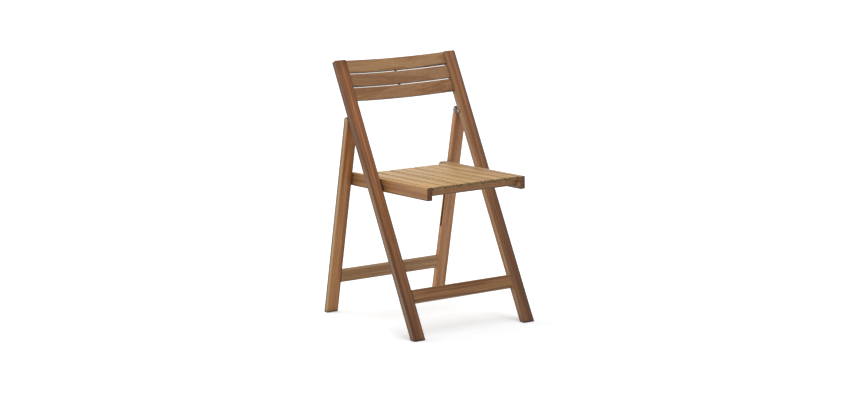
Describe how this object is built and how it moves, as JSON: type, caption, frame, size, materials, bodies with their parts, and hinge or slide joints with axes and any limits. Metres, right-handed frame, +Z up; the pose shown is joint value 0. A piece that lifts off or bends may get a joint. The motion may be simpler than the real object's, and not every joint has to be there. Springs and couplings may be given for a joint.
{
  "type": "folding garden chair",
  "caption": "Folding slatted hardwood chair: long rails carry a bowed slat back, rear legs hinge on them, and the seat swings up to fold flat.",
  "frame": {"origin": "on the floor under the middle of the chair's footprint", "axes": "+Z up, +Y to the back of the chair, +X across it; someone sitting in it faces -Y"},
  "size_m": [0.4564, 0.495, 0.803],
  "materials": {
    "rail_wood": "oiled reddish brown hardwood, satin",
    "back_wood": "oiled mid brown hardwood, satin",
    "leg_wood": "oiled orange brown hardwood, satin",
    "seat_slat_wood": "oiled light golden brown hardwood, satin",
    "seat_frame_wood": "oiled mid brown hardwood, satin",
    "steel": "zinc plated steel, dull"
  },
  "bodies": {
    "front_frame": {"rail_left": "rail_wood", "rail_right": "rail_wood", "front_stretcher": "rail_wood", "back_slat_top": "back_wood", "back_slat_middle": "back_wood", "back_slat_bottom": "back_wood", "back_spacer_dowels": "back_wood", "hinge_pivot_screws": "steel", "seat_pivot_bolts": "steel", "seat_pivot_inserts": "steel", "seat_pivot_washers": "steel"},
    "rear_frame": {"leg_left": "leg_wood", "leg_right": "leg_wood", "rear_stretcher": "leg_wood", "hinge_plate_left": "steel", "hinge_plate_right": "steel", "hinge_leg_screws": "steel"},
    "seat": {"seat_rail_left": "seat_frame_wood", "seat_rail_right": "seat_frame_wood", "seat_batten_front": "seat_frame_wood", "seat_batten_rear": "seat_frame_wood", "seat_slat_1": "seat_slat_wood", "seat_slat_2": "seat_slat_wood", "seat_slat_3": "seat_slat_wood", "seat_slat_4": "seat_slat_wood", "seat_slat_5": "seat_slat_wood", "seat_slat_6": "seat_slat_wood", "seat_slat_7": "seat_slat_wood", "slat_screws": "steel"},
    "guide_pins": {"guide_pins": "steel"}
  },
  "joints": [
    {"name": "leg_fold", "type": "hinge", "parent": "front_frame", "child": "rear_frame", "pos_m": [0, 0.09683, 0.62038], "axis": [-1, 0, 0], "range_deg": [0, 38.3]},
    {"name": "seat_fold", "type": "hinge", "parent": "front_frame", "child": "seat", "pos_m": [0, -0.0083, 0.42925], "axis": [-1, 0, 0], "range_deg": [0, 112.11]},
    {"name": "pin_slide", "type": "slide", "parent": "rear_frame", "child": "guide_pins", "axis": [0, 0.1874, -0.9823], "range_m": [0, 0.19203]}
  ],
  "couplings": [
    {"joint": "seat_fold", "follows": "leg_fold", "ratio": 2.9272},
    {"joint": "pin_slide", "follows": "leg_fold", "m_per_rad": 0.28727}
  ]
}
